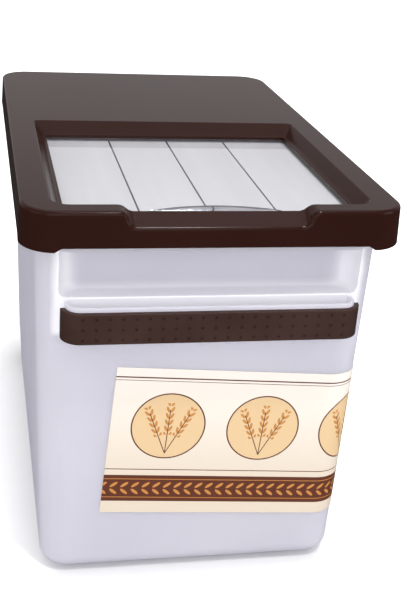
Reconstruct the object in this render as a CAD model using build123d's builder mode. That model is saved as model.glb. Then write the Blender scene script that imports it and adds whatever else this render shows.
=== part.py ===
"""Grain storage bin: frosted tub on two rear wheels, lift-off lid and sliding window panel.

Millimetres. X runs to the right, Y to the back and Z up. The origin lies on the floor, under the middle
of the bin's outline, so the grip's face is the front of the outline and the lid's skirt is the back.
"""
import os
from math import atan, degrees, pi, radians, sin, tan

from build123d import *

os.makedirs("parts", exist_ok=True)

# Running and seating clearances
SEAT_GAP = 0.3
SLIDE_GAP = 0.3
PIN_GAP = 0.05
PRESS_GAP = 0.01
SKIN_GAP = 0.1
MOUTH_GAP = 0.5
TOUCH = 0.01

# Lid
LID_WIDTH = 230.0
LID_LENGTH = 370.0
LID_TOP = 258.0
LID_WALL = 2.4
LID_CORNER = 22.0
LID_EDGE = 2.5
SKIRT_HEIGHT = 22.0
SKIRT_FLARE = 1.0
SKIRT_EDGE = 0.8
TAB_DROP = 2.5
TAB_REACH = 20.0
TAB_STEP = 4.0
TAB_ROUND = 3.0

# Window recess in the lid's front half, measured from the lid's front face and from its top
SIDE_RIM = 19.0
FRONT_RIM = 15.0
RECESS_BACK = 201.0
RECESS_DEPTH = 7.9
RECESS_SIDE_SLOPE = 5.5
RECESS_BACK_SLOPE = 9.0
RECESS_FRONT_CORNER = 10.0
RECESS_BACK_CORNER = 4.0
RECESS_MOUTH_EDGE = 1.5
RECESS_FOOT_COVE = 2.0
LEDGE_WIDTH = 2.5
LEDGE_THICK = 1.8

# Finger notch in the front rim
NOTCH_TOP_WIDTH = 118.0
NOTCH_SIDE_RUN = 10.5
NOTCH_FRONT_DROP = 10.0
NOTCH_BACK_DROP = 3.2
NOTCH_FLOOR = 2.2

# Sliding window panel and its rails
PANEL_THICK = 2.0
PANEL_SIDE_LAP = 6.0
PANEL_BACK_LAP = 8.0
PANEL_STOP_FROM_BACK = 20.2
PANEL_CORNER = 8.0
RIB_PITCH = 42.4
RIB_WIDTH = 1.2
RIB_HEIGHT = 1.0
RIB_SETBACK = 6.0
LIP_CHORD = 82.0
LIP_SAGITTA = 9.6
LIP_HEIGHT = 6.0
LIP_ROUND = 1.5
RAIL_WALL = 3.0
RAIL_LIP = 2.0
RAIL_LIP_REACH = 3.5

# Tub: its foot lies inside the lid's outline by TUB_INSET, and its heights hang from the lid's plate
TUB_INSET = 15.5
TUB_BASE = 1.5
TUB_WALL = 2.4
TUB_CORNER = 18.0
TUB_TAPER = 1.35
TUB_FOOT_ROUND = 11.0
RIM_BELOW_PLATE = 6.2
BEAD_BELOW_RIM = 18.4
BEAD_THICK = 2.6
BEAD_PROUD = 2.6
BEAD_EDGE = 0.9
SEAT_RIB = 2.4
FOOT_LENGTH = 34.0
FOOT_WIDTH = 8.0
FOOT_INSET = 12.0

# Handle: recess in the tub's front with a shelf, and a lip before it that leaves a slot for the fingers
RECESS_WALL_BACK = 29.5
CEILING_BELOW_BEAD = 0.6
RECESS_PAST_GRIP = 0.5
COVE_RADIUS = 17.0
SHELF_ABOVE_LIP = 1.0
SHELF_COVE = 5.0
SHELF_EDGE = 0.8
POCKET_FLOOR_COVE = 2.0
LIP_BELOW_CEILING = 30.4
LIP_WALL = 2.4
LIP_EDGE = 0.8
LIP_DEPTH = 24.0
LIP_BOTTOM_EDGE = 2.0
LIP_ROOT_DROP = 4.0
LIP_ROOT_INSET = 3.0
LIP_ROOT_CORNER = 1.0
GRIP_FROM_SIDE = 8.5
GRIP_BELOW_LIP = 2.5
GRIP_HEIGHT = 19.5
GRIP_THICK = 3.0
GRIP_CORNER = 12.0
GRIP_RETURN = 11.0
GRIP_PROUD = 5.0
GRIP_EDGE = 0.8
PIT_ROWS = 3
PIT_PITCH_X = 7.85
PIT_PITCH_Z = 6.6
PIT_DIAMETER = 1.9
PIT_DEPTH = 0.5
PEG_DIAMETER = 4.0
PEG_PITCH = 60.0
PEG_COUNT = 3

# Wheels and axle pins
WHEEL_DIAMETER = 30.0
WHEEL_WIDTH = 10.0
WHEEL_EDGE = 1.5
WHEEL_DISH = 1.5
WHEEL_DISH_WIDTH = 5.0
HUB_DIAMETER = 10.0
WHEEL_FACE_INSET = 3.5
WHEEL_SIDE_GAP = 0.4
WELL_CLEARANCE = 2.5
AXLE_FROM_BACK = 27.0
PIN_DIAMETER = 4.0
PIN_HEAD_DIAMETER = 7.0
PIN_HEAD_THICK = 1.4
PIN_GRIP_LENGTH = 9.0
BOSS_WALL = 3.0

# Label
LABEL_LEFT = 55.0
LABEL_BOTTOM = 48.0
LABEL_BELOW_LIP = 17.3
LABEL_WRAP = 40.0
LABEL_THICK = 0.3
LABEL_TILT = 4.0

# Places worked out from the sizes above
OVERALL_LENGTH = LID_LENGTH + GRIP_PROUD
GRIP_FRONT = -OVERALL_LENGTH / 2
LID_FRONT = GRIP_FRONT + GRIP_PROUD
LID_CENTRE = LID_FRONT + LID_LENGTH / 2
LID_BACK = LID_FRONT + LID_LENGTH
SKIRT_BOTTOM = LID_TOP - SKIRT_HEIGHT
TAB_BOTTOM = SKIRT_BOTTOM - TAB_DROP
LID_TAPER = degrees(atan(SKIRT_FLARE / (LID_TOP - TAB_BOTTOM)))
LEDGE_TOP = LID_TOP - RECESS_DEPTH
LEDGE_BOTTOM = LEDGE_TOP - LEDGE_THICK
PANEL_TOP = LEDGE_BOTTOM - SLIDE_GAP
PANEL_BOTTOM = PANEL_TOP - PANEL_THICK
RAIL_LIP_TOP = PANEL_BOTTOM - SLIDE_GAP
RAIL_BOTTOM = RAIL_LIP_TOP - RAIL_LIP
RECESS_TOP_HALF = LID_WIDTH / 2 - SIDE_RIM
RECESS_FOOT_HALF = RECESS_TOP_HALF - RECESS_SIDE_SLOPE
WINDOW_HALF = RECESS_FOOT_HALF - LEDGE_WIDTH
RECESS_FRONT_Y = LID_FRONT + FRONT_RIM
RECESS_BACK_Y = LID_FRONT + RECESS_BACK
FOOT_BACK_Y = RECESS_BACK_Y - RECESS_BACK_SLOPE
WINDOW_BACK_Y = FOOT_BACK_Y - LEDGE_WIDTH
PANEL_HALF = WINDOW_HALF + PANEL_SIDE_LAP
PANEL_FRONT_Y = RECESS_FRONT_Y + SLIDE_GAP
PANEL_BACK_Y = WINDOW_BACK_Y + PANEL_BACK_LAP
RAIL_INNER = PANEL_HALF + SLIDE_GAP
RAIL_OUTER = RAIL_INNER + RAIL_WALL
RAIL_BACK_Y = LID_BACK - PANEL_STOP_FROM_BACK
PLATE_BOTTOM = LID_TOP - LID_WALL
RIM_TOP = PLATE_BOTTOM - RIM_BELOW_PLATE
BEAD_BOTTOM = RIM_TOP - BEAD_BELOW_RIM
TUB_BASE_WIDTH = LID_WIDTH - 2 * TUB_INSET
TUB_BASE_LENGTH = LID_LENGTH - 2 * TUB_INSET
TUB_HEIGHT = RIM_TOP - TUB_BASE
TUB_SLOPE = tan(radians(TUB_TAPER))
TUB_FRONT_BASE = LID_CENTRE - TUB_BASE_LENGTH / 2
TUB_BACK_BASE = LID_CENTRE + TUB_BASE_LENGTH / 2
NICHE_BACK_Y = LID_FRONT + RECESS_WALL_BACK
RECESS_CEILING = BEAD_BOTTOM - CEILING_BELOW_BEAD
LIP_TOP = RECESS_CEILING - LIP_BELOW_CEILING
SHELF_TOP = LIP_TOP + SHELF_ABOVE_LIP
LIP_STRAIGHT_BOTTOM = LIP_TOP - LIP_DEPTH
LIP_ROOT = LIP_STRAIGHT_BOTTOM - LIP_ROOT_DROP
GRIP_TOP = LIP_TOP - GRIP_BELOW_LIP
GRIP_HALF = TUB_BASE_WIDTH / 2 - GRIP_FROM_SIDE
RECESS_HALF = GRIP_HALF + RECESS_PAST_GRIP
PIT_COLUMNS = 2 * int((GRIP_HALF - GRIP_CORNER) / PIT_PITCH_X) + 1
LIP_FRONT_Y = GRIP_FRONT + GRIP_THICK + SKIN_GAP
LIP_HALF = GRIP_HALF - GRIP_THICK - SKIN_GAP
LIP_CORNER = GRIP_CORNER - GRIP_THICK - SKIN_GAP
POCKET_HALF = LIP_HALF - LIP_WALL
POCKET_CORNER = LIP_CORNER - LIP_WALL
GRIP_MIDDLE = GRIP_TOP - GRIP_HEIGHT / 2
WHEEL_RADIUS = WHEEL_DIAMETER / 2
AXLE_Y = TUB_BACK_BASE - AXLE_FROM_BACK
WHEEL_OUTER_X = TUB_BASE_WIDTH / 2 - WHEEL_FACE_INSET
WHEEL_INNER_X = WHEEL_OUTER_X - WHEEL_WIDTH
WELL_X = WHEEL_INNER_X - WHEEL_SIDE_GAP
WELL_RADIUS = WHEEL_RADIUS + WELL_CLEARANCE
PIN_END_X = WELL_X - PIN_GRIP_LENGTH
BORE_END_X = PIN_END_X - SEAT_GAP


def tub_growth(height):
    """How far each side of the tub has leaned out at this height."""
    return TUB_SLOPE * (height - TUB_BASE)


def tub_face(height):
    """Y of the tub's front face at this height."""
    return TUB_FRONT_BASE - tub_growth(height)


def tub_side(height):
    """Half of the tub's width at this height."""
    return TUB_BASE_WIDTH / 2 + tub_growth(height)


def rounded_plan(height, half_width, front, back, radius):
    """A rounded rectangle seen from above, from front to back, centred across the bin."""
    with BuildSketch(Plane.XY.offset(height)) as plan:
        with Locations((0, (front + back) / 2)):
            RectangleRounded(2 * half_width, back - front, radius)
    return plan.sketch


def tub_plan(height, inset):
    """The tub's outline at this height, drawn in by inset on all sides."""
    grown = tub_growth(height) - inset
    half = TUB_BASE_WIDTH / 2 + grown
    return rounded_plan(height, half, TUB_FRONT_BASE - grown, TUB_BACK_BASE + grown, TUB_CORNER + grown)


def rim_band(height, outer_inset, inner_inset):
    """The band along the tub's rim between two insets, laid flat at this height."""
    grown = tub_growth(RIM_TOP)
    with BuildSketch(Plane.XY.offset(height)) as band:
        with Locations((0, LID_CENTRE)):
            for inset, mode in ((outer_inset, Mode.ADD), (inner_inset, Mode.SUBTRACT)):
                wider = grown - inset
                RectangleRounded(TUB_BASE_WIDTH + 2 * wider, TUB_BASE_LENGTH + 2 * wider,
                                 TUB_CORNER + wider, mode=mode)
    return band.sketch


def lid_plan(inset):
    """The lid's outline at the lower end of its skirt, drawn in by inset on all sides."""
    half = LID_WIDTH / 2 - inset
    return rounded_plan(TAB_BOTTOM, half, LID_FRONT + inset, LID_BACK - inset, LID_CORNER - inset)


def recess_plan(height, half_width, back):
    """The window recess at this height, with rounder corners at its front than at its back."""
    with BuildSketch(Plane.XY.offset(height)) as plan:
        with BuildLine():
            Polyline((-half_width, RECESS_FRONT_Y), (half_width, RECESS_FRONT_Y), (half_width, back),
                     (-half_width, back), close=True)
        make_face()
        fillet(plan.vertices().group_by(Axis.Y)[0], radius=RECESS_FRONT_CORNER)
        fillet(plan.vertices().group_by(Axis.Y)[-1], radius=RECESS_BACK_CORNER)
    return plan.sketch


def niche_plan(height, growth):
    """The recess in the tub's front: a flat back between two coves, grown by growth into the tub."""
    half = RECESS_HALF + growth
    radius = COVE_RADIUS + growth
    back = NICHE_BACK_Y + growth
    front = GRIP_FRONT - GRIP_PROUD
    corner = sin(pi / 4) * radius
    with BuildSketch(Plane.XY.offset(height)) as plan:
        with BuildLine():
            Line((-half, front), (half, front))
            Line((half, front), (half, back - radius))
            ThreePointArc((half, back - radius), (half - radius + corner, back - radius + corner),
                          (half - radius, back))
            Line((half - radius, back), (radius - half, back))
            ThreePointArc((radius - half, back), (radius - half - corner, back - radius + corner),
                          (-half, back - radius))
            Line((-half, back - radius), (-half, front))
        make_face()
    return plan.sketch


def lying_at(edges, height):
    """Those of the edges that lie flat at this height."""
    return edges.filter_by(lambda edge: abs(edge.bounding_box().min.Z - height) < TOUCH
                           and abs(edge.bounding_box().max.Z - height) < TOUCH)


def notch_profile(offset_y, growth):
    """The finger notch at this Y: two S-curves down to a floor that rises to the back, grown by growth."""
    rise = (NOTCH_FRONT_DROP - NOTCH_BACK_DROP) / FRONT_RIM
    drop = NOTCH_FRONT_DROP - rise * (offset_y - LID_FRONT)
    top_half = NOTCH_TOP_WIDTH / 2 + growth
    floor_half = top_half - NOTCH_SIDE_RUN
    floor_z = LID_TOP - drop - growth
    middle_x = (top_half + floor_half) / 2
    middle_z = (LID_TOP + floor_z) / 2
    above = LID_TOP + LID_EDGE
    with BuildSketch(Plane.XZ.offset(-offset_y)) as profile:
        with BuildLine():
            Line((-top_half, above), (top_half, above))
            Line((top_half, above), (top_half, LID_TOP))
            TangentArc((top_half, LID_TOP), (middle_x, middle_z), tangent=(-1, 0))
            TangentArc((floor_half, floor_z), (middle_x, middle_z), tangent=(1, 0))
            Line((floor_half, floor_z), (-floor_half, floor_z))
            TangentArc((-floor_half, floor_z), (-middle_x, middle_z), tangent=(-1, 0))
            TangentArc((-top_half, LID_TOP), (-middle_x, middle_z), tangent=(1, 0))
            Line((-top_half, LID_TOP), (-top_half, above))
        make_face()
    return profile.sketch


def box_between(x_range, y_range, z_range, mode=Mode.ADD):
    """A box from its six bounds."""
    (x0, x1), (y0, y1), (z0, z1) = x_range, y_range, z_range
    with Locations(((x0 + x1) / 2, (y0 + y1) / 2, (z0 + z1) / 2)):
        Box(x1 - x0, y1 - y0, z1 - z0, mode=mode)


def axle_cylinder(side, radius, x_from, x_to, mode=Mode.ADD):
    """A cylinder on the wheel axis of one side, between two distances from the middle."""
    with Locations(Location((side * (x_from + x_to) / 2, AXLE_Y, WHEEL_RADIUS), (0, 90, 0))):
        Cylinder(radius, abs(x_to - x_from), mode=mode)


# Tub: the inside, with the walls of the recess, the wheel wells and the axle bosses standing into it
inside_floor = TUB_BASE + TUB_WALL
with BuildPart() as cavity:
    extrude(tub_plan(inside_floor, TUB_WALL), amount=TUB_HEIGHT, taper=-TUB_TAPER)
    fillet(cavity.edges().group_by(Axis.Z)[0], radius=TUB_FOOT_ROUND - TUB_WALL)
    niche_height = RECESS_CEILING - SHELF_TOP + 2 * TUB_WALL
    extrude(niche_plan(SHELF_TOP - TUB_WALL, TUB_WALL), amount=niche_height, mode=Mode.SUBTRACT)
    for side in (-1, 1):
        well_wall = WELL_RADIUS + TUB_WALL
        well_inner = WELL_X - TUB_WALL
        axle_cylinder(side, well_wall, well_inner, TUB_BASE_WIDTH, mode=Mode.SUBTRACT)
        x_range = sorted((side * well_inner, side * TUB_BASE_WIDTH))
        y_range = (AXLE_Y - well_wall, AXLE_Y + well_wall)
        box_between(x_range, y_range, (0, WHEEL_RADIUS), mode=Mode.SUBTRACT)
        boss_radius = PIN_DIAMETER / 2 + BOSS_WALL
        axle_cylinder(side, boss_radius, BORE_END_X - TUB_WALL, WELL_X, mode=Mode.SUBTRACT)

# The room for fingers: the recess above the shelf, and the slot between the lip and the tub's front wall
lip_root_front = tub_face(LIP_ROOT) + TUB_WALL / 2
pocket_floor = LIP_STRAIGHT_BOTTOM + LIP_WALL
slot_back = tub_face(LIP_TOP) + TUB_WALL / 3
with BuildPart() as pocket:
    extrude(niche_plan(SHELF_TOP, 0), amount=RECESS_CEILING - SHELF_TOP)
    fillet(lying_at(pocket.edges(), SHELF_TOP), radius=SHELF_COVE)
    slot_plan = rounded_plan(pocket_floor, POCKET_HALF, LIP_FRONT_Y + LIP_WALL, slot_back + POCKET_CORNER,
                             POCKET_CORNER)
    extrude(slot_plan, amount=SHELF_TOP - pocket_floor)
    box_between((-POCKET_HALF, POCKET_HALF), (slot_back, slot_back + POCKET_CORNER),
                (pocket_floor, SHELF_TOP), mode=Mode.SUBTRACT)

with BuildPart() as tub:
    extrude(tub_plan(BEAD_BOTTOM, -BEAD_PROUD), amount=BEAD_THICK)
    for height in (BEAD_BOTTOM, BEAD_BOTTOM + BEAD_THICK):
        fillet(lying_at(tub.edges(), height), radius=BEAD_EDGE)
    extrude(tub_plan(TUB_BASE, 0), amount=TUB_HEIGHT, taper=-TUB_TAPER)
    fillet(tub.edges().group_by(Axis.Z)[0], radius=TUB_FOOT_ROUND)
    lip_back = tub_face(LIP_TOP) + LIP_CORNER + TUB_WALL
    lip_outline = rounded_plan(LIP_STRAIGHT_BOTTOM, LIP_HALF, LIP_FRONT_Y, lip_back, LIP_CORNER)
    extrude(lip_outline, amount=LIP_TOP - LIP_STRAIGHT_BOTTOM)
    root_outline = rounded_plan(LIP_ROOT, LIP_HALF - LIP_ROOT_INSET, lip_root_front,
                                lip_back, LIP_ROOT_CORNER)
    loft([root_outline.face(), lip_outline.face()], ruled=True)
    add(cavity.part, mode=Mode.SUBTRACT)
    add(pocket.part, mode=Mode.SUBTRACT)

    # Soft edges of the lip and the shelf, and a cove round the slot's floor
    in_front = tub.edges().filter_by(lambda edge: edge.center().Y < tub_face(LIP_TOP) + TUB_WALL / 4)
    fillet(lying_at(in_front, LIP_TOP), radius=LIP_EDGE)
    fillet(lying_at(tub.edges(), pocket_floor), radius=POCKET_FLOOR_COVE)
    shelf_edge = tub.edges().filter_by(lambda edge: abs(edge.center().Y - slot_back) < TOUCH)
    fillet(lying_at(shelf_edge, SHELF_TOP), radius=SHELF_EDGE)
    in_front = tub.edges().filter_by(lambda edge: edge.center().Y < tub_face(LIP_TOP) + TUB_WALL / 4)
    fillet(lying_at(in_front, LIP_STRAIGHT_BOTTOM), radius=LIP_BOTTOM_EDGE)

    # Wheel wells and the bores for the axle pins
    for side in (-1, 1):
        axle_cylinder(side, WELL_RADIUS, WELL_X, TUB_BASE_WIDTH, mode=Mode.SUBTRACT)
        x_range = sorted((side * WELL_X, side * TUB_BASE_WIDTH))
        y_range = (AXLE_Y - WELL_RADIUS, AXLE_Y + WELL_RADIUS)
        box_between(x_range, y_range, (0, WHEEL_RADIUS), mode=Mode.SUBTRACT)
        axle_cylinder(side, PIN_DIAMETER / 2 + PRESS_GAP, BORE_END_X, WELL_X, mode=Mode.SUBTRACT)

    # Holes in the lip for the grip's pegs
    with Locations(Plane.XZ.offset(-LIP_FRONT_Y)):
        with Locations((0, GRIP_MIDDLE)):
            with GridLocations(PEG_PITCH, 1, PEG_COUNT, 1):
                Cylinder(PEG_DIAMETER / 2 + PRESS_GAP, 3 * LIP_WALL, mode=Mode.SUBTRACT)

    # Two low feet under the front edge keep the base level with the wheels
    for side in (-1, 1):
        foot_x = side * (TUB_BASE_WIDTH / 2 - TUB_FOOT_ROUND - FOOT_INSET - FOOT_LENGTH / 2)
        foot_y = TUB_FRONT_BASE + TUB_FOOT_ROUND + FOOT_INSET
        with Locations((foot_x, foot_y, (TUB_BASE + TUB_WALL) / 2)):
            Box(FOOT_LENGTH, FOOT_WIDTH, TUB_BASE + TUB_WALL)
tub.part.label = "tub"
export_step(tub.part, "parts/tub.step")

# Grip: a strip bent round the ends of the lip, with rows of small pits and pegs through the lip
with BuildPart() as handle_grip:
    grip_back = tub_face(LIP_TOP)
    grip_bottom = GRIP_TOP - GRIP_HEIGHT
    extrude(rounded_plan(grip_bottom, GRIP_HALF, GRIP_FRONT, grip_back + GRIP_CORNER, GRIP_CORNER),
            amount=GRIP_HEIGHT)
    inner_front = LIP_FRONT_Y - SKIN_GAP
    extrude(rounded_plan(grip_bottom, LIP_HALF + SKIN_GAP, inner_front, grip_back + 2 * GRIP_CORNER,
                         LIP_CORNER + SKIN_GAP), amount=GRIP_HEIGHT, mode=Mode.SUBTRACT)
    box_between((-2 * GRIP_HALF, 2 * GRIP_HALF), (GRIP_FRONT + GRIP_RETURN, grip_back + 3 * GRIP_CORNER),
                (grip_bottom, GRIP_TOP), mode=Mode.SUBTRACT)
    front_face = handle_grip.faces().filter_by(Axis.Y).sort_by(Axis.Y)[0]
    fillet(front_face.edges().filter_by(Axis.X), radius=GRIP_EDGE)
    with Locations(Plane.XZ.offset(-GRIP_FRONT)):
        with Locations((0, GRIP_MIDDLE)):
            with GridLocations(PIT_PITCH_X, PIT_PITCH_Z, PIT_COLUMNS, PIT_ROWS):
                Cylinder(PIT_DIAMETER / 2, 2 * PIT_DEPTH, mode=Mode.SUBTRACT)
    peg_length = LIP_WALL + SKIN_GAP
    with Locations(Plane.XZ.offset(-inner_front - peg_length / 2)):
        with Locations((0, GRIP_MIDDLE)):
            with GridLocations(PEG_PITCH, 1, PEG_COUNT, 1):
                Cylinder(PEG_DIAMETER / 2, peg_length)
handle_grip.part.label = "handle_grip"
export_step(handle_grip.part, "parts/handle_grip.step")

# Lid: the hollow under it, with the window frame, the rails, the notch floor and the seat rib left standing
frame_back_y = RECESS_BACK_Y + LID_WALL
with BuildPart() as lid_hollow:
    extrude(lid_plan(LID_WALL), amount=PLATE_BOTTOM - TAB_BOTTOM, taper=LID_TAPER)
    box_between((-RAIL_OUTER, RAIL_OUTER), (RECESS_FRONT_Y - LID_WALL, frame_back_y),
                (RAIL_BOTTOM, LID_TOP), mode=Mode.SUBTRACT)
    for side in (-1, 1):
        x_range = sorted((side * WINDOW_HALF, side * RAIL_OUTER))
        box_between(x_range, (frame_back_y, RAIL_BACK_Y + RAIL_WALL), (RAIL_BOTTOM, LID_TOP),
                    mode=Mode.SUBTRACT)
    loft([notch_profile(LID_FRONT - LID_EDGE, NOTCH_FLOOR).face(),
          notch_profile(RECESS_FRONT_Y + LID_WALL, NOTCH_FLOOR).face()], ruled=True, mode=Mode.SUBTRACT)
    rib_bottom = RIM_TOP + SEAT_GAP
    extrude(rim_band(rib_bottom, 0, SEAT_RIB), amount=PLATE_BOTTOM - rib_bottom, mode=Mode.SUBTRACT)

with BuildPart() as lid:
    extrude(lid_plan(0), amount=LID_TOP - TAB_BOTTOM, taper=LID_TAPER)
    loft([notch_profile(LID_FRONT - LID_EDGE, 0).face(), notch_profile(RECESS_FRONT_Y + LID_EDGE, 0).face()],
         ruled=True, mode=Mode.SUBTRACT)
    upper = lid.edges().filter_by(lambda edge: edge.bounding_box().min.Z > LID_TOP - NOTCH_FRONT_DROP - TOUCH)
    fillet(upper.filter_by(lambda edge: abs(edge.center().X) > NOTCH_TOP_WIDTH / 2
                           or edge.center().Y < LID_FRONT + LID_EDGE), radius=LID_EDGE)

    # Skirt edge: straight between four lower corners
    for plane, reach, through in ((Plane.XZ, LID_WIDTH / 2 - TAB_REACH, LID_LENGTH),
                                  (Plane.YZ, LID_LENGTH / 2 - TAB_REACH, LID_WIDTH)):
        middle = LID_CENTRE if plane.z_dir.X else 0
        with BuildSketch(plane) as between_tabs:
            with BuildLine():
                Polyline((middle - reach, TAB_BOTTOM - TAB_DROP), (middle - reach, TAB_BOTTOM),
                         (middle - reach + TAB_STEP, SKIRT_BOTTOM), (middle + reach - TAB_STEP, SKIRT_BOTTOM),
                         (middle + reach, TAB_BOTTOM), (middle + reach, TAB_BOTTOM - TAB_DROP), close=True)
            make_face()
            fillet(between_tabs.vertices().group_by(Axis.Y)[-1], radius=TAB_ROUND)
        extrude(amount=through, both=True, mode=Mode.SUBTRACT)
    fillet(lid.edges().filter_by(lambda edge: edge.bounding_box().max.Z < SKIRT_BOTTOM + TOUCH),
           radius=SKIRT_EDGE)

    # Window recess with soft edges, then the hollow under the lid and the window
    recess_foot = recess_plan(LEDGE_TOP, RECESS_FOOT_HALF, FOOT_BACK_Y)
    recess_mouth = recess_plan(LID_TOP, RECESS_TOP_HALF, RECESS_BACK_Y)
    loft([recess_foot.face(), recess_mouth.face()], ruled=True, mode=Mode.SUBTRACT)
    in_recess = lid.edges().filter_by(lambda edge: abs(edge.center().X) < RECESS_TOP_HALF + TOUCH
                                      and RECESS_FRONT_Y - TOUCH < edge.center().Y < RECESS_BACK_Y + TOUCH)
    mouth_floor = LID_TOP - NOTCH_BACK_DROP - RECESS_MOUTH_EDGE
    recess_mouth_edges = in_recess.filter_by(lambda edge: edge.bounding_box().min.Z > mouth_floor)
    fillet(recess_mouth_edges, radius=RECESS_MOUTH_EDGE)
    fillet(lying_at(lid.edges(), LEDGE_TOP), radius=RECESS_FOOT_COVE)
    straight_front = RECESS_FOOT_HALF - RECESS_FRONT_CORNER
    box_between((-straight_front, straight_front), (RECESS_FRONT_Y, RECESS_FRONT_Y + RECESS_FOOT_COVE),
                (LEDGE_TOP, LEDGE_TOP + RECESS_FOOT_COVE), mode=Mode.SUBTRACT)
    add(lid_hollow.part, mode=Mode.SUBTRACT)
    box_between((-WINDOW_HALF, WINDOW_HALF), (RECESS_FRONT_Y, WINDOW_BACK_Y), (RAIL_BOTTOM, LEDGE_TOP),
                mode=Mode.SUBTRACT)

    # What dips into the tub's mouth stays clear of its rounded corners
    mouth_band = rim_band(RAIL_BOTTOM, -BEAD_PROUD - MOUTH_GAP, TUB_WALL + MOUTH_GAP)
    extrude(mouth_band, amount=rib_bottom - RAIL_BOTTOM, mode=Mode.SUBTRACT)

    # Slot for the panel, with its rounded corners, open below between the rails and above behind the window
    slot_corner = PANEL_CORNER + SLIDE_GAP
    extrude(rounded_plan(RAIL_LIP_TOP, RAIL_INNER, RECESS_FRONT_Y, RAIL_BACK_Y, slot_corner),
            amount=LEDGE_BOTTOM - RAIL_LIP_TOP, mode=Mode.SUBTRACT)
    extrude(rounded_plan(RAIL_BOTTOM, RAIL_INNER - RAIL_LIP_REACH, RECESS_FRONT_Y, RAIL_BACK_Y, slot_corner),
            amount=RAIL_LIP, mode=Mode.SUBTRACT)
    box_between((-RAIL_INNER, RAIL_INNER), (frame_back_y, RAIL_BACK_Y), (LEDGE_TOP, PLATE_BOTTOM),
                mode=Mode.SUBTRACT)

    # Hollow behind the sloping back wall of the recess
    wall_step = LID_WALL * 1.4
    with BuildSketch(Plane.YZ):
        with BuildLine():
            Polyline((FOOT_BACK_Y + wall_step, LEDGE_BOTTOM), (FOOT_BACK_Y + wall_step, LEDGE_TOP),
                     (RECESS_BACK_Y + LEDGE_THICK / 2, PLATE_BOTTOM), (frame_back_y, PLATE_BOTTOM),
                     (frame_back_y, LEDGE_BOTTOM), close=True)
        make_face()
    extrude(amount=RAIL_INNER, both=True, mode=Mode.SUBTRACT)
lid.part.label = "lid"
export_step(lid.part, "parts/lid.step")

# Window panel: flat sheet, three ribs below it and a crescent lip for the finger on top
with BuildPart() as window_panel:
    extrude(rounded_plan(PANEL_BOTTOM, PANEL_HALF, PANEL_FRONT_Y, PANEL_BACK_Y, PANEL_CORNER),
            amount=PANEL_THICK)
    rib_y = (PANEL_FRONT_Y + RIB_SETBACK, PANEL_BACK_Y - RIB_SETBACK)
    for column in (-1, 0, 1):
        rib_x = column * RIB_PITCH
        box_between((rib_x - RIB_WIDTH / 2, rib_x + RIB_WIDTH / 2), rib_y,
                    (PANEL_BOTTOM - RIB_HEIGHT, PANEL_BOTTOM))
    with BuildSketch(Plane.XY.offset(PANEL_TOP)):
        with BuildLine():
            Line((-LIP_CHORD / 2, PANEL_FRONT_Y), (LIP_CHORD / 2, PANEL_FRONT_Y))
            ThreePointArc((LIP_CHORD / 2, PANEL_FRONT_Y), (0, PANEL_FRONT_Y + LIP_SAGITTA),
                          (-LIP_CHORD / 2, PANEL_FRONT_Y))
        make_face()
    extrude(amount=LIP_HEIGHT)
    fillet(window_panel.edges().group_by(Axis.Z)[-1], radius=LIP_ROUND)
window_panel.part.label = "window_panel"
export_step(window_panel.part, "parts/window_panel.step")

# Label: a thin sheet on the front face, tilted a little, that runs round the right corner onto the side
label_slope = tan(radians(LABEL_TILT))
label_top = LIP_ROOT - LABEL_BELOW_LIP
label_height = label_top - LABEL_BOTTOM
corner_y = TUB_FRONT_BASE + TUB_CORNER
side_x = tub_side(label_top)
side_drop = label_slope * (side_x + LABEL_LEFT)
wrap_drop = side_drop + label_slope * LABEL_WRAP
with BuildPart() as label_reach:
    with BuildSketch(Plane.XZ.offset(-corner_y)):
        with BuildLine():
            Polyline((-LABEL_LEFT, label_top), (side_x + LABEL_THICK + SKIN_GAP, label_top - side_drop),
                     (side_x + LABEL_THICK + SKIN_GAP, LABEL_BOTTOM - side_drop),
                     (-LABEL_LEFT - label_slope * label_height, LABEL_BOTTOM), close=True)
        make_face()
    extrude(amount=corner_y - GRIP_FRONT)
    with BuildSketch(Plane.YZ.offset(TUB_BASE_WIDTH / 4)):
        with BuildLine():
            Polyline((corner_y, label_top - side_drop), (corner_y + LABEL_WRAP, label_top - wrap_drop),
                     (corner_y + LABEL_WRAP, LABEL_BOTTOM - wrap_drop),
                     (corner_y, LABEL_BOTTOM - side_drop), close=True)
        make_face()
    extrude(amount=side_x - TUB_BASE_WIDTH / 4 + LABEL_THICK + SKIN_GAP)
with BuildPart() as label:
    extrude(tub_plan(TUB_BASE, -SKIN_GAP - LABEL_THICK), amount=LIP_ROOT, taper=-TUB_TAPER)
    extrude(tub_plan(TUB_BASE, -SKIN_GAP), amount=LIP_ROOT, taper=-TUB_TAPER, mode=Mode.SUBTRACT)
    add(label_reach.part, mode=Mode.INTERSECT)
label.part.label = "label"
export_step(label.part, "parts/label.step")


def make_wheel(side, name):
    """One wheel with a dished outer face, bored to run on its pin."""
    with BuildPart() as wheel:
        axle_cylinder(side, WHEEL_RADIUS, WHEEL_INNER_X, WHEEL_OUTER_X)
        fillet(wheel.edges(), radius=WHEEL_EDGE)
        axle_cylinder(side, WHEEL_RADIUS - WHEEL_DISH_WIDTH, WHEEL_OUTER_X - WHEEL_DISH, WHEEL_OUTER_X,
                      mode=Mode.SUBTRACT)
        axle_cylinder(side, HUB_DIAMETER / 2, WHEEL_OUTER_X - 2 * WHEEL_DISH, WHEEL_OUTER_X)
        axle_cylinder(side, PIN_DIAMETER / 2 + PIN_GAP, WHEEL_INNER_X, WHEEL_OUTER_X, mode=Mode.SUBTRACT)
    wheel.part.label = name
    export_step(wheel.part, f"parts/{name}.step")


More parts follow.
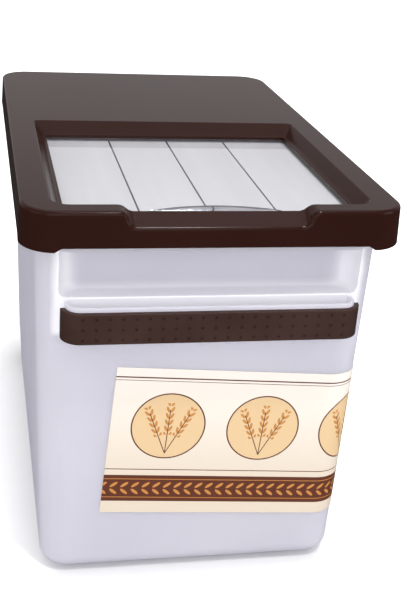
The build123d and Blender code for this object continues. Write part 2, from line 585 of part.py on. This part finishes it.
def make_pin(side, name):
    """One headed axle pin, from its boss in the tub to the head outside the wheel."""
    head_x = WHEEL_OUTER_X + SLIDE_GAP
    with BuildPart() as pin:
        axle_cylinder(side, PIN_DIAMETER / 2, PIN_END_X, head_x)
        axle_cylinder(side, PIN_HEAD_DIAMETER / 2, head_x, head_x + PIN_HEAD_THICK)
    pin.part.label = name
    export_step(pin.part, f"parts/{name}.step")


for side, word in ((-1, "left"), (1, "right")):
    make_wheel(side, f"wheel_{word}")
    make_pin(side, f"axle_pin_{word}")
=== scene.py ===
"""Looks of the grain storage bin: plastics, printed label, wheels, and the studio it stands in."""

import math

import bpy
from mathutils import Matrix, Vector


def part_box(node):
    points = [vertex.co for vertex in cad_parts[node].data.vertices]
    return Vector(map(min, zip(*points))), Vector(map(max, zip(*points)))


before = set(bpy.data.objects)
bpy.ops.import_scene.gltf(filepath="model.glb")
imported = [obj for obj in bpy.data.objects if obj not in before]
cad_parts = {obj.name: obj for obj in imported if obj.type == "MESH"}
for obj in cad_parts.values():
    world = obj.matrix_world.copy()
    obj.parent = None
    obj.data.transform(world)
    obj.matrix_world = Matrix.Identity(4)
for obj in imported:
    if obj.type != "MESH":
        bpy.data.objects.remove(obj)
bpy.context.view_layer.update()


# Tub: the open box that holds the grain, with a recess, a shelf and a lip for the hand in its front.
# Natural polypropylene 2.4 mm thick, milky with a cool cast, so it passes light but shows no shapes.
# The eye gets soft clouds, upright flow marks and the mould's grain, and a recess painted lighter than its
# shade, so it reads nearly as light as the front.
def linear(hex_colour):
    """An sRGB hex colour as linear RGBA."""
    parts = [int(hex_colour[i:i + 2], 16) / 255 for i in (1, 3, 5)]
    return tuple(p / 12.92 if p <= 0.04045 else ((p + 0.055) / 1.055) ** 2.4 for p in parts) + (1.0,)


def add_node(tree, kind, inputs=None, **settings):
    """Adds a node: settings are its options, inputs are values or sockets to link, by name or number."""
    node = tree.nodes.new(kind)
    for option, value in settings.items():
        setattr(node, option, value)
    for socket, value in (inputs or {}).items():
        if isinstance(value, bpy.types.NodeSocket):
            tree.links.new(value, node.inputs[socket])
        else:
            node.inputs[socket].default_value = value
    return node


def new_material(name):
    """An empty node material with its output, and the point in object coordinates."""
    material = bpy.data.materials.new(name)
    material.use_nodes = True
    tree = material.node_tree
    tree.nodes.clear()
    output = add_node(tree, "ShaderNodeOutputMaterial")
    point = add_node(tree, "ShaderNodeTexCoord").outputs["Object"]
    return material, tree, output, point


def dress(material, *nodes):
    """Gives nodes of the frame their material."""
    for node in nodes:
        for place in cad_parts[node].material_slots:
            place.material = material


def beyond_box(tree, place, centre, half):
    """How far a place lies outside a box, in metres, given the box's middle and half sizes."""
    own = add_node(tree, "ShaderNodeVectorMath", {0: place, 1: centre}, operation="SUBTRACT")
    side = add_node(tree, "ShaderNodeVectorMath", {0: own.outputs["Vector"]}, operation="ABSOLUTE")
    past = add_node(tree, "ShaderNodeVectorMath", {0: side.outputs["Vector"], 1: half}, operation="SUBTRACT")
    out = add_node(tree, "ShaderNodeVectorMath", {0: past.outputs["Vector"], 1: (0.0, 0.0, 0.0)},
                   operation="MAXIMUM")
    away = add_node(tree, "ShaderNodeVectorMath", {0: out.outputs["Vector"]}, operation="LENGTH")
    return away.outputs["Value"]


RECESS_MIDDLE = (0.0, -0.1635, 0.2045)
RECESS_HALF = (0.0925, 0.0070, 0.0260)
RECESS_FADE = 0.004
CLOUD_SIZE = 0.090
FLOW_WIDTH = 0.012
FLOW_STRETCH = 0.06
MOULD_GRAIN = 0.0006
MOULD_GRAIN_DEPTH = 0.00002
frosted, tree, output, point = new_material("frosted_polypropylene")
# Painted light: inside the recess box the base colour goes towards near-white #F8F7FB and less of it is
# translucent, a painted fill that lifts the shaded recess.
outward = beyond_box(tree, point, RECESS_MIDDLE, RECESS_HALF)
painted_recess_light = add_node(tree, "ShaderNodeMapRange", {"Value": outward, "From Max": RECESS_FADE, "To Min": 1.0,
                                                  "To Max": 0.0})
passing = add_node(tree, "ShaderNodeMapRange", {"Value": outward, "From Max": RECESS_FADE, "To Min": 0.2,
                                                "To Max": 0.6})
clouds = add_node(tree, "ShaderNodeTexNoise", {"Vector": point, "Scale": 1 / CLOUD_SIZE, "Detail": 2.0})
tint = add_node(tree, "ShaderNodeValToRGB", {"Fac": clouds.outputs["Fac"]})
tint.color_ramp.elements[0].position = 0.35
tint.color_ramp.elements[0].color = linear("#E0DFE6")
tint.color_ramp.elements[1].position = 0.65
tint.color_ramp.elements[1].color = linear("#E6E5EB")
upright = add_node(tree, "ShaderNodeMapping", {"Vector": point, "Scale": (1.0, 1.0, FLOW_STRETCH)})
flow = add_node(tree, "ShaderNodeTexNoise", {"Vector": upright.outputs["Vector"], "Scale": 1 / FLOW_WIDTH,
                                             "Detail": 2.0})
sheen = add_node(tree, "ShaderNodeMapRange", {"Value": flow.outputs["Fac"], "From Min": 0.3, "From Max": 0.7,
                                              "To Min": 0.30, "To Max": 0.38})
grain = add_node(tree, "ShaderNodeTexNoise", {"Vector": point, "Scale": 1 / MOULD_GRAIN, "Detail": 1.0})
bump = add_node(tree, "ShaderNodeBump", {"Height": grain.outputs["Fac"], "Strength": 0.4,
                                         "Distance": MOULD_GRAIN_DEPTH})
# Painted light: the base colour is the cloudy tint, mixed to near-white in the recess.
tint_with_painted_recess_light = add_node(tree, "ShaderNodeMix", {"Factor": painted_recess_light.outputs["Result"], "A": tint.outputs["Color"],
                                        "B": linear("#F8F7FB")}, data_type="RGBA")
skin = add_node(tree, "ShaderNodeBsdfPrincipled", {"Base Color": tint_with_painted_recess_light.outputs["Result"],
                                                   "Roughness": sheen.outputs["Result"],
                                                   "Specular IOR Level": 0.3,
                                                   "Normal": bump.outputs["Normal"]})
glow = add_node(tree, "ShaderNodeBsdfTranslucent", {"Color": linear("#F5F4F9"),
                                                    "Normal": bump.outputs["Normal"]})
mixed = add_node(tree, "ShaderNodeMixShader", {0: passing.outputs["Result"], 1: skin.outputs["BSDF"],
                                                 2: glow.outputs["BSDF"]})
tree.links.new(mixed.outputs["Shader"], output.inputs["Surface"])
dress(frosted, "tub")


# Lid: the cover with the window in its front half and the solid rear half that the panel slides under.
# Brown polypropylene: red-brown and dark where it faces the eye, greyer where it mirrors the room.
# The eye gets a satin face with a very fine grain, worn a little smoother in broad patches.
def brown_plastic(name, dark, light, patch, smooth, rough, grain_size, grain_depth, mirror):
    """A brown moulded plastic: sizes in metres, smooth and rough the ends of its roughness."""
    material, tree, output, point = new_material(name)
    patches = add_node(tree, "ShaderNodeTexNoise", {"Vector": point, "Scale": 1 / patch, "Detail": 3.0})
    ramp = add_node(tree, "ShaderNodeValToRGB", {"Fac": patches.outputs["Fac"]})
    ramp.color_ramp.elements[0].position = 0.3
    ramp.color_ramp.elements[0].color = linear(dark)
    ramp.color_ramp.elements[1].position = 0.7
    ramp.color_ramp.elements[1].color = linear(light)
    wear = add_node(tree, "ShaderNodeMapRange", {"Value": patches.outputs["Fac"], "From Min": 0.3,
                                                 "From Max": 0.7, "To Min": smooth, "To Max": rough})
    grain = add_node(tree, "ShaderNodeTexNoise", {"Vector": point, "Scale": 1 / grain_size, "Detail": 2.0})
    bump = add_node(tree, "ShaderNodeBump", {"Height": grain.outputs["Fac"], "Strength": 0.5,
                                             "Distance": grain_depth})
    shader = add_node(tree, "ShaderNodeBsdfPrincipled", {"Base Color": ramp.outputs["Color"],
                                                         "Roughness": wear.outputs["Result"],
                                                         "Specular IOR Level": mirror,
                                                         "Normal": bump.outputs["Normal"]})
    tree.links.new(shader.outputs["BSDF"], output.inputs["Surface"])
    return material


dress(brown_plastic("lid_polypropylene", dark="#25110D", light="#29140F", patch=0.120, smooth=0.17,
                    rough=0.22, grain_size=0.0005, grain_depth=0.000008, mirror=0.14), "lid")

# Grip: a brown strip bent round the ends of the lip, held by three pegs.
# The same plastic with a coarser leather-like grain between its pits, so it is duller than the lid.
dress(brown_plastic("grip_polypropylene", dark="#35211C", light="#3B2722", patch=0.025, smooth=0.45,
                    rough=0.55, grain_size=0.0011, grain_depth=0.00004, mirror=0.2), "handle_grip")

# Window panel: the clear sheet that slides back, with three ribs below and a crescent lip for the finger.
# Polystyrene, polished above and faintly frosted below: the eye gets a pale, streaked pane that mirrors the
# frame behind it, three dark lines of painted shade over the ribs, and the bent light of the solid lip.
panel_low, panel_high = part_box("window_panel")
RIB_DEPTH = 0.001
LIP_RISE = 0.006
LEVEL_MARGIN = 0.00005
VEIL = 0.8
TWO_FACED_MIRROR = 1.6
SWELL_SIZE = 0.018
SWELL_DEPTH = 0.0001
STREAK_WIDTH = 0.016
STREAK_STRETCH = 0.05
clear, tree, output, point = new_material("crystal_polystyrene")
height = add_node(tree, "ShaderNodeSeparateXYZ", {"Vector": point}).outputs["Z"]
in_rib = add_node(tree, "ShaderNodeMath", {0: height, 1: panel_low[2] + RIB_DEPTH - LEVEL_MARGIN},
                  operation="LESS_THAN")
in_lip = add_node(tree, "ShaderNodeMath", {0: height, 1: panel_high[2] - LIP_RISE + LEVEL_MARGIN},
                  operation="GREATER_THAN")
under = add_node(tree, "ShaderNodeMath", {0: height, 1: panel_low[2] + RIB_DEPTH + LEVEL_MARGIN},
                 operation="LESS_THAN")
milky = add_node(tree, "ShaderNodeMath", {0: under.outputs["Value"], 1: in_rib.outputs["Value"]},
                 operation="SUBTRACT")
veil = add_node(tree, "ShaderNodeMath", {0: milky.outputs["Value"], 1: VEIL}, operation="MULTIPLY")
# Painted shade: the see-through colour is dark grey over the ribs, standing in for the dark lines the clear
# ribs show.
clear_with_painted_rib_shade = add_node(tree, "ShaderNodeMix", {"Factor": in_rib.outputs["Value"], "A": linear("#F4F5F7"),
                                          "B": linear("#6F6D72")}, data_type="RGBA")
swell = add_node(tree, "ShaderNodeTexNoise", {"Vector": point, "Scale": 1 / SWELL_SIZE, "Detail": 1.0})
wave = add_node(tree, "ShaderNodeBump", {"Height": swell.outputs["Fac"], "Strength": 0.3,
                                         "Distance": SWELL_DEPTH})
lengthwise = add_node(tree, "ShaderNodeMapping", {"Vector": point, "Scale": (1.0, STREAK_STRETCH, 1.0)})
streaks = add_node(tree, "ShaderNodeTexNoise", {"Vector": lengthwise.outputs["Vector"],
                                                "Scale": 1 / STREAK_WIDTH, "Detail": 2.0})
white = add_node(tree, "ShaderNodeMix", {"Factor": streaks.outputs["Fac"], "A": linear("#CFCCCE"),
                                         "B": linear("#E8E6E6")}, data_type="RGBA")
through = add_node(tree, "ShaderNodeBsdfTransparent", {"Color": clear_with_painted_rib_shade.outputs["Result"]})
haze = add_node(tree, "ShaderNodeBsdfDiffuse", {"Color": white.outputs["Result"]})
body = add_node(tree, "ShaderNodeMixShader", {0: veil.outputs["Value"], 1: through.outputs["BSDF"],
                                              2: haze.outputs["BSDF"]})
polish = add_node(tree, "ShaderNodeBsdfGlossy", {"Roughness": 0.04, "Normal": wave.outputs["Normal"]})
bounce = add_node(tree, "ShaderNodeFresnel", {"IOR": 1.55})
inside = add_node(tree, "ShaderNodeNewGeometry").outputs["Backfacing"]
outside = add_node(tree, "ShaderNodeMath", {0: 1.0, 1: inside}, operation="SUBTRACT")
mirror = add_node(tree, "ShaderNodeMath", {0: bounce.outputs["Fac"], 1: outside.outputs["Value"]},
                  operation="MULTIPLY")
mirror = add_node(tree, "ShaderNodeMath", {0: mirror.outputs["Value"], 1: TWO_FACED_MIRROR},
                  operation="MULTIPLY")
plate = add_node(tree, "ShaderNodeMixShader", {0: mirror.outputs["Value"], 1: body.outputs["Shader"],
                                               2: polish.outputs["BSDF"]})
solid = add_node(tree, "ShaderNodeBsdfGlass", {"Color": linear("#EFEFF2"), "Roughness": 0.02, "IOR": 1.55})
mixed = add_node(tree, "ShaderNodeMixShader", {0: in_lip.outputs["Value"], 1: plate.outputs["Shader"],
                                               2: solid.outputs["BSDF"]})
tree.links.new(mixed.outputs["Shader"], output.inputs["Surface"])
dress(clear, "window_panel")


# Label: a printed film stuck on the front and round the right corner onto the side, tilted a little.
# Cream paper under gloss film. Its picture is a plain one: tan rounds with rice ears, thin rules and a
# brown foot band with a braid of grains.
SHEET_LEFT = -0.055
SHEET_TOP = 0.1547
SHEET_TILT = 4.0
SHEET_WRAP = 0.040
CORNER_RADIUS = 0.0203
MILLIMETRE = 0.001
ROUND_PITCH = 62.0
ROUND_RADIUS = 24.0
ROUND_MIDDLE = -41.0
BAND_MIDDLE = -88.0
BAND_HALF = 10.0
GRAIN_PITCH = 7.0
GRAIN_TURN = 38.0
PAPER_RIPPLE = 0.022
PAPER_RIPPLE_DEPTH = 0.0003
EAR_GRAIN_PITCH = 4.6
EAR_GRAIN_TURN = 24.0
EAR_LEAN = 24.0
FAR_PITCH = 400.0


def ellipse(tree, place, centre, half, turn):
    """1 inside an ellipse with these half-lengths, turned by so many degrees, and 0 outside it."""
    own = add_node(tree, "ShaderNodeMapping", {"Vector": place, "Location": (*centre, 0.0),
                                               "Rotation": (0.0, 0.0, math.radians(turn)),
                                               "Scale": (*half, 1.0)}, vector_type="TEXTURE")
    reach = add_node(tree, "ShaderNodeVectorMath", {0: own.outputs["Vector"]}, operation="LENGTH")
    return add_node(tree, "ShaderNodeMath", {0: reach.outputs["Value"], 1: 1.0},
                    operation="LESS_THAN").outputs["Value"]


def repeated(tree, place, pitch_x, pitch_y):
    """The place on the sheet, wrapped so that what stands at the origin repeats at these pitches."""
    return add_node(tree, "ShaderNodeVectorMath", {0: place, 1: (pitch_x / 2, pitch_y / 2, 1.0),
                                                   2: (-pitch_x / 2, -pitch_y / 2, -1.0)},
                    operation="WRAP").outputs["Vector"]


def either(tree, first, *others):
    """1 where any of the masks is 1."""
    for other in others:
        first = add_node(tree, "ShaderNodeMath", {0: first, 1: other}, operation="MAXIMUM").outputs["Value"]
    return first


def within(tree, value, middle, half):
    """1 where a value lies within half of the middle."""
    return add_node(tree, "ShaderNodeMath", {0: value, 1: middle, 2: half},
                    operation="COMPARE").outputs["Value"]


def rice_ear(tree, place, foot, lean):
    """An ear of rice that leans from its foot: its grains in pairs along the stem, and the stem."""
    own = add_node(tree, "ShaderNodeMapping", {"Vector": place, "Location": (*foot, 0.0),
                                               "Rotation": (0.0, 0.0, math.radians(lean))},
                   vector_type="TEXTURE").outputs["Vector"]
    parts = add_node(tree, "ShaderNodeSeparateXYZ", {"Vector": own})
    folded = add_node(tree, "ShaderNodeVectorMath", {0: own}, operation="ABSOLUTE").outputs["Vector"]
    grains = ellipse(tree, repeated(tree, folded, FAR_PITCH, EAR_GRAIN_PITCH), (1.5, 0.0), (0.85, 2.3),
                     -EAR_GRAIN_TURN)
    in_ear = within(tree, parts.outputs["Y"], 25.3, 11.5)
    shown = add_node(tree, "ShaderNodeMath", {0: grains, 1: in_ear}, operation="MULTIPLY").outputs["Value"]
    line = within(tree, parts.outputs["X"], 0.0, 0.3)
    in_stem = within(tree, parts.outputs["Y"], 16.0, 16.0)
    stem = add_node(tree, "ShaderNodeMath", {0: line, 1: in_stem}, operation="MULTIPLY").outputs["Value"]
    return shown, stem


label_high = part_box("label")[1]
corner_x = label_high[0] - CORNER_RADIUS
corner_y = label_high[1] - SHEET_WRAP
film, tree, output, point = new_material("printed_film")
parts = add_node(tree, "ShaderNodeSeparateXYZ", {"Vector": point})
flat = add_node(tree, "ShaderNodeMath", {0: parts.outputs["X"], 1: corner_x}, operation="MINIMUM")
past = add_node(tree, "ShaderNodeMath", {0: parts.outputs["X"], 1: corner_x}, operation="SUBTRACT")
past = add_node(tree, "ShaderNodeMath", {0: past.outputs["Value"], 1: 0.0}, operation="MAXIMUM")
before = add_node(tree, "ShaderNodeMath", {0: corner_y, 1: parts.outputs["Y"]}, operation="SUBTRACT")
behind = add_node(tree, "ShaderNodeMath", {0: before.outputs["Value"], 1: 0.0}, operation="MINIMUM")
before = add_node(tree, "ShaderNodeMath", {0: before.outputs["Value"], 1: 0.0}, operation="MAXIMUM")
angle = add_node(tree, "ShaderNodeMath", {0: past.outputs["Value"], 1: before.outputs["Value"]},
                 operation="ARCTAN2")
round_corner = add_node(tree, "ShaderNodeMath", {0: angle.outputs["Value"], 1: CORNER_RADIUS,
                                                 2: flat.outputs["Value"]}, operation="MULTIPLY_ADD")
along = add_node(tree, "ShaderNodeMath", {0: round_corner.outputs["Value"], 1: behind.outputs["Value"]},
                 operation="SUBTRACT")
unrolled = add_node(tree, "ShaderNodeCombineXYZ", {"X": along.outputs["Value"], "Y": parts.outputs["Z"]})
sheet = add_node(tree, "ShaderNodeMapping", {"Vector": unrolled.outputs["Vector"],
                                             "Location": (SHEET_LEFT, SHEET_TOP, 0.0),
                                             "Rotation": (0.0, 0.0, math.radians(-SHEET_TILT)),
                                             "Scale": (MILLIMETRE, MILLIMETRE, 1.0)},
                 vector_type="TEXTURE").outputs["Vector"]
down = add_node(tree, "ShaderNodeSeparateXYZ", {"Vector": sheet}).outputs["Y"]
centred = add_node(tree, "ShaderNodeVectorMath", {0: sheet, 1: (-ROUND_PITCH / 2 - 6.0, -ROUND_MIDDLE, 0.0)},
                   operation="ADD").outputs["Vector"]
rounds = repeated(tree, centred, ROUND_PITCH, FAR_PITCH)
outer = ellipse(tree, rounds, (0.0, 0.0), (ROUND_RADIUS, ROUND_RADIUS), 0.0)
inner = ellipse(tree, rounds, (0.0, 0.0), (ROUND_RADIUS - 0.9, ROUND_RADIUS - 0.9), 0.0)
ring = add_node(tree, "ShaderNodeMath", {0: outer, 1: inner}, operation="SUBTRACT").outputs["Value"]
ears = [rice_ear(tree, rounds, (0.0, -20.0), lean) for lean in (-EAR_LEAN, 0.0, EAR_LEAN)]
braid = add_node(tree, "ShaderNodeVectorMath", {0: sheet, 1: (0.0, -BAND_MIDDLE, 0.0)},
                 operation="ADD").outputs["Vector"]
braid = repeated(tree, braid, GRAIN_PITCH, FAR_PITCH)
upper_row = ellipse(tree, braid, (0.0, 2.6), (3.0, 1.05), GRAIN_TURN)
lower_row = ellipse(tree, braid, (0.0, -2.6), (3.0, 1.05), -GRAIN_TURN)
band = within(tree, down, BAND_MIDDLE, BAND_HALF)
rules = either(tree, within(tree, down, -6.5, 0.45), within(tree, down, -8.6, 0.2),
               within(tree, down, -73.5, 0.3))
gold = either(tree, upper_row, lower_row, within(tree, down, BAND_MIDDLE + 7.0, 0.25),
              within(tree, down, BAND_MIDDLE - 7.0, 0.25), *(grains for grains, stem in ears))
brown = either(tree, band, rules, ring, *(stem for grains, stem in ears))
# The paper is darker towards the foot of the sheet and lighter at its top.
fade = add_node(tree, "ShaderNodeMapRange", {"Value": down, "From Min": -80.0, "From Max": 0.0})
paper = add_node(tree, "ShaderNodeMix", {"Factor": fade.outputs["Result"], "A": linear("#D4C6B4"),
                                         "B": linear("#E8E0D8")}, data_type="RGBA")
with_rounds = add_node(tree, "ShaderNodeMix", {"Factor": inner, "A": paper.outputs["Result"],
                                               "B": linear("#D6B88E")}, data_type="RGBA")
with_brown = add_node(tree, "ShaderNodeMix", {"Factor": brown, "A": with_rounds.outputs["Result"],
                                              "B": linear("#5F3020")}, data_type="RGBA")
with_gold = add_node(tree, "ShaderNodeMix", {"Factor": gold, "A": with_brown.outputs["Result"],
                                             "B": linear("#BD7F3C")}, data_type="RGBA")
ripple = add_node(tree, "ShaderNodeTexNoise", {"Vector": point, "Scale": 1 / PAPER_RIPPLE, "Detail": 2.0})
lifted = add_node(tree, "ShaderNodeBump", {"Height": ripple.outputs["Fac"], "Strength": 0.25,
                                           "Distance": PAPER_RIPPLE_DEPTH})
printed = add_node(tree, "ShaderNodeBsdfPrincipled", {"Base Color": with_gold.outputs["Result"],
                                                      "Roughness": 0.38, "Normal": lifted.outputs["Normal"]})
tree.links.new(printed.outputs["BSDF"], output.inputs["Surface"])
dress(film, "label")

# Wheels: two small wheels at the rear bottom corners, each on a headed steel pin.
# They are a dull brown-black plastic, scuffed from rolling.
dress(brown_plastic("wheel_polypropylene", dark="#2B2321", light="#3A322F", patch=0.008, smooth=0.5,
                    rough=0.7, grain_size=0.0008, grain_depth=0.00005, mirror=0.3),
      "wheel_left", "wheel_right")

# Axle pins: a headed pin on each side, pressed into a boss of the tub.
# Zinc-plated steel: bright, with faint cloudy patches in the plating.
PLATING_PATCH = 0.003
steel, tree, output, point = new_material("zinc_plated_steel")
plating = add_node(tree, "ShaderNodeTexNoise", {"Vector": point, "Scale": 1 / PLATING_PATCH, "Detail": 3.0})
sheen = add_node(tree, "ShaderNodeMapRange", {"Value": plating.outputs["Fac"], "To Min": 0.2, "To Max": 0.4})
metal = add_node(tree, "ShaderNodeBsdfPrincipled", {"Base Color": linear("#C3C5C8"), "Metallic": 1.0,
                                                    "Roughness": sheen.outputs["Result"]})
tree.links.new(metal.outputs["BSDF"], output.inputs["Surface"])
dress(steel, "axle_pin_left", "axle_pin_right")

# Studio: a pale floor, a white room and soft lamps. The eye gets a white ground with a faint contact shadow,
# because the floor is lifted towards white as it leaves the bin, and only for the camera.
FLOOR_SIZE = 8.0
BASE_HALF = (0.085, 0.165, 0.0)
SHADOW_REACH = 0.08
bpy.ops.object.select_all(action="DESELECT")
bpy.ops.mesh.primitive_plane_add(size=FLOOR_SIZE, location=(0, 0, 0))
floor = bpy.context.object
floor.name = "floor"
floor_white, tree, output, point = new_material("studio_floor")
light_path = add_node(tree, "ShaderNodeLightPath")
matt = add_node(tree, "ShaderNodeBsdfDiffuse", {"Color": linear("#D9D9DA")})
away = beyond_box(tree, point, (0.0, 0.0, 0.0), BASE_HALF)
rising = add_node(tree, "ShaderNodeMapRange", {"Value": away, "From Max": SHADOW_REACH, "To Min": 0.0,
                                               "To Max": 0.75})
lifting = add_node(tree, "ShaderNodeMath", {0: light_path.outputs["Is Camera Ray"],
                                            1: rising.outputs["Result"]}, operation="MULTIPLY")
lift = add_node(tree, "ShaderNodeEmission", {"Strength": lifting.outputs["Value"]})
both = add_node(tree, "ShaderNodeAddShader", {0: matt.outputs["BSDF"], 1: lift.outputs["Emission"]})
mirrored = add_node(tree, "ShaderNodeBsdfDiffuse", {"Color": linear("#303030")})
seen = add_node(tree, "ShaderNodeMixShader", {0: light_path.outputs["Is Glossy Ray"],
                                              1: both.outputs["Shader"], 2: mirrored.outputs["BSDF"]})
tree.links.new(seen.outputs["Shader"], output.inputs["Surface"])
floor.data.materials.append(floor_white)

# The room: white behind the bin and above it, dimmer in front, where the eye stands.
world = bpy.data.worlds.new("studio")
bpy.context.scene.world = world
world.use_nodes = True
tree = world.node_tree
tree.nodes.clear()
way = add_node(tree, "ShaderNodeTexCoord").outputs["Generated"]
depth = add_node(tree, "ShaderNodeSeparateXYZ", {"Vector": way}).outputs["Y"]
light_path = add_node(tree, "ShaderNodeLightPath")
mirrored = add_node(tree, "ShaderNodeMapRange", {"Value": depth, "From Min": 0.0, "From Max": 0.7,
                                                 "To Min": 0.08, "To Max": 0.48})
strength = add_node(tree, "ShaderNodeMix", {"Factor": light_path.outputs["Is Glossy Ray"], "A": 1.0,
                                            "B": mirrored.outputs["Result"]})
dim = add_node(tree, "ShaderNodeBackground", {"Color": (1, 1, 1, 1), "Strength": strength.outputs["Result"]})
white = add_node(tree, "ShaderNodeBackground", {"Color": (1, 1, 1, 1), "Strength": 1.0})
mixed = add_node(tree, "ShaderNodeMixShader", {0: light_path.outputs["Is Camera Ray"],
                                               1: dim.outputs["Background"], 2: white.outputs["Background"]})
add_node(tree, "ShaderNodeOutputWorld", {"Surface": mixed.outputs["Shader"]})


def soft_lamp(name, place, size, power):
    """A square soft lamp that faces the bin."""
    bpy.ops.object.light_add(type="AREA", location=place)
    lamp = bpy.context.object
    lamp.name = name
    lamp.data.size = size
    lamp.data.energy = power
    lamp.rotation_euler = (Vector((0, 0, 0.12)) - Vector(place)).to_track_quat("-Z", "Y").to_euler()


soft_lamp("lamp_above", (0.0, 0.2, 1.7), 1.4, 6)
soft_lamp("lamp_edges", (0.2, -0.6, 1.45), 0.12, 8)
soft_lamp("lamp_left", (-1.4, -0.7, 0.6), 1.0, 3)
soft_lamp("lamp_right", (1.4, -0.8, 0.6), 1.0, 5)
soft_lamp("lamp_front", (-0.2, -1.5, 0.7), 1.2, 6)

# Camera: a little to the left of the bin, looking down on it, leaning as the photograph does.
YAW, PITCH, ROLL = (math.radians(turn) for turn in (11.37, 23.49, -3.66))
forward = Vector((math.sin(YAW) * math.cos(PITCH), math.cos(YAW) * math.cos(PITCH), -math.sin(PITCH)))
level = Vector((math.cos(YAW), -math.sin(YAW), 0))
down = forward.cross(level)
right = math.cos(ROLL) * level + math.sin(ROLL) * down
down = math.cos(ROLL) * down - math.sin(ROLL) * level
view = Matrix((right, -down, -forward)).transposed().to_4x4()
view.translation = Vector((-0.1377, -0.7358, 0.4521))
camera_data = bpy.data.cameras.new("camera")
camera = bpy.data.objects.new("camera", camera_data)
bpy.context.scene.collection.objects.link(camera)
camera.matrix_world = view
camera_data.sensor_width = 36.0
camera_data.lens = 1057 / 591 * 36
camera_data.shift_x = 0.06
bpy.context.scene.camera = camera
bpy.context.scene.view_settings.view_transform = "Standard"
